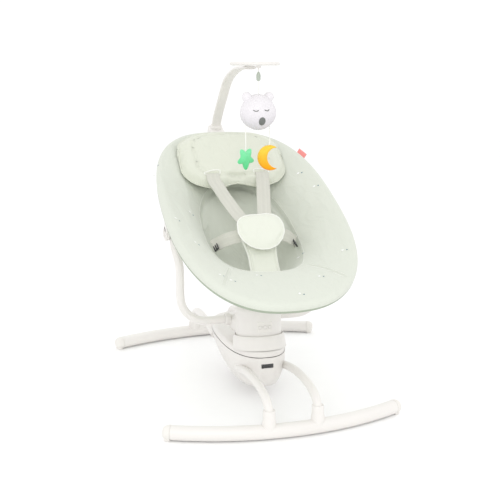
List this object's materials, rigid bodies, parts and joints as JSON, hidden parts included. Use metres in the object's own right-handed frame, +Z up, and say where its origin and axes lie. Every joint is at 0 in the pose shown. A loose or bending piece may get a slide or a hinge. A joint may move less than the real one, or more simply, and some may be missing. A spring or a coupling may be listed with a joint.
{
  "type": "baby swing",
  "caption": "Motor-driven baby swing: bowed foot bars, drive housing, turning neck with side arms, reclining oval padded seat with harness, and a toy arch with hanging plush toys.",
  "frame": {"origin": "centre of the footprint, on the floor", "axes": "+Z up, -Y towards the foot end and the front foot bar, +X to the right of someone who faces the foot end"},
  "size_m": [0.6412, 0.855, 0.8615],
  "materials": {
    "white_enamel": "satin white paint on steel tube",
    "white_plastic": "moulded, fine texture",
    "foot_rubber": "soft moulded, pale",
    "drive_steel": "turned",
    "gear_brass": "cut",
    "dark_plastic": "smooth",
    "grey_plastic": "moulded",
    "board": "solder mask",
    "sage_fabric": "brushed jersey with small scattered print",
    "pillow_fabric": "soft jersey",
    "cream_fabric": "piped jersey",
    "webbing": "woven tape",
    "cord": "braided",
    "white_plush": "short pile",
    "green_plush": "short pile",
    "yellow_plush": "short pile"
  },
  "bodies": {
    "base": {"front_foot_bar": "white_enamel", "rear_foot_bar": "white_enamel", "front_left_foot_cap": "foot_rubber", "front_right_foot_cap": "foot_rubber", "rear_left_foot_cap": "foot_rubber", "rear_right_foot_cap": "foot_rubber", "front_left_leg": "white_enamel", "front_right_leg": "white_enamel", "rear_left_leg": "white_enamel", "rear_right_leg": "white_enamel", "lower_housing": "white_plastic", "upper_housing": "white_plastic", "display_window": "dark_plastic", "drive_motor": "drive_steel", "lower_bearing": "drive_steel", "upper_bearing": "drive_steel", "circuit_board": "board", "speaker": "dark_plastic"},
    "swing_unit": {"neck_shell": "white_plastic", "control_panel": "grey_plastic", "swing_shaft": "drive_steel", "sector_gear": "gear_brass", "support_arm_left": "white_enamel", "support_arm_right": "white_enamel", "arm_hub_left": "white_plastic", "arm_hub_right": "white_plastic"},
    "pinion": {"drive_pinion": "gear_brass"},
    "power_key": {"power_button": "white_plastic"},
    "speed_key": {"speed_button": "white_plastic"},
    "timer_key": {"timer_button": "white_plastic"},
    "seat": {"ring_head_tube": "white_enamel", "ring_foot_tube": "white_enamel", "seat_cover": "sage_fabric", "head_pillow": "pillow_fabric", "ring_joint_left": "white_plastic", "ring_joint_right": "white_plastic", "buckle": "white_plastic", "buckle_shield": "cream_fabric", "crotch_pad": "cream_fabric", "shoulder_strap_left": "webbing", "shoulder_strap_right": "webbing", "waist_strap_left": "webbing", "waist_strap_right": "webbing", "waist_adjuster_left": "dark_plastic", "waist_adjuster_right": "dark_plastic", "arch_socket": "white_plastic"},
    "recline_key_left": {"recline_button_left": "grey_plastic"},
    "recline_key_right": {"recline_button_right": "grey_plastic"},
    "buckle_key": {"buckle_button": "grey_plastic"},
    "arch": {"toy_arch": "white_plastic", "mobile_disc": "white_plastic"},
    "mobile": {"mobile_hook": "white_plastic"},
    "bear": {"mobile_clip": "grey_plastic", "bear_cord": "cord", "plush_bear": "white_plush", "bear_nose": "grey_plastic"},
    "star": {"star_cord": "cord", "plush_star": "green_plush"},
    "moon": {"moon_cord": "cord", "plush_moon": "yellow_plush"}
  },
  "joints": [
    {"name": "seat_swing", "type": "hinge", "parent": "base", "child": "swing_unit", "pos_m": [0, -0.126, 0.109], "axis": [0, 0.1392, 0.9903], "range_deg": [-14, 14]},
    {"name": "pinion_turn", "type": "hinge", "parent": "base", "child": "pinion", "pos_m": [0, -0.08561, 0.07303], "axis": [0, 0.1392, 0.9903], "range_deg": [-57, 57]},
    {"name": "seat_recline", "type": "hinge", "parent": "swing_unit", "child": "seat", "pos_m": [0, -0.034, 0.428], "axis": [1, 0, 0], "range_deg": [-9, 7]},
    {"name": "arch_turn", "type": "hinge", "parent": "seat", "child": "arch", "pos_m": [0, 0.34492, 0.65098], "axis": [0, -0.4305, 0.9026], "range_deg": [-90, 90]},
    {"name": "mobile_spin", "type": "hinge", "parent": "arch", "child": "mobile", "pos_m": [0, -0.111, 0.848], "axis": [0, 0, 1], "continuous": true},
    {"name": "bear_sway", "type": "hinge", "parent": "mobile", "child": "bear", "pos_m": [0, -0.111, 0.838], "axis": [1, 0, 0], "range_deg": [-25, 25]},
    {"name": "star_sway", "type": "hinge", "parent": "bear", "child": "star", "pos_m": [-0.033, -0.111, 0.70555], "axis": [1, 0, 0], "range_deg": [-30, 30]},
    {"name": "moon_sway", "type": "hinge", "parent": "bear", "child": "moon", "pos_m": [0.03, -0.111, 0.70464], "axis": [1, 0, 0], "range_deg": [-30, 30]},
    {"name": "power_press", "type": "slide", "parent": "swing_unit", "child": "power_key", "axis": [0.2079, 0.9686, -0.1361], "range_m": [0, 0.0012], "stiffness_N_per_m": 400},
    {"name": "speed_press", "type": "slide", "parent": "swing_unit", "child": "speed_key", "axis": [0, 0.9903, -0.1392], "range_m": [0, 0.0012], "stiffness_N_per_m": 400},
    {"name": "timer_press", "type": "slide", "parent": "swing_unit", "child": "timer_key", "axis": [-0.2079, 0.9686, -0.1361], "range_m": [0, 0.0012], "stiffness_N_per_m": 400},
    {"name": "recline_press_left", "type": "slide", "parent": "seat", "child": "recline_key_left", "axis": [1, 0, 0], "range_m": [0, 0.002], "stiffness_N_per_m": 600},
    {"name": "recline_press_right", "type": "slide", "parent": "seat", "child": "recline_key_right", "axis": [-1, 0, 0], "range_m": [0, 0.002], "stiffness_N_per_m": 600},
    {"name": "buckle_press", "type": "slide", "parent": "seat", "child": "buckle_key", "axis": [0, 0.4305, -0.9026], "range_m": [0, 0.0018], "stiffness_N_per_m": 500}
  ],
  "couplings": [
    {"joint": "pinion_turn", "follows": "seat_swing", "ratio": -4}
  ]
}
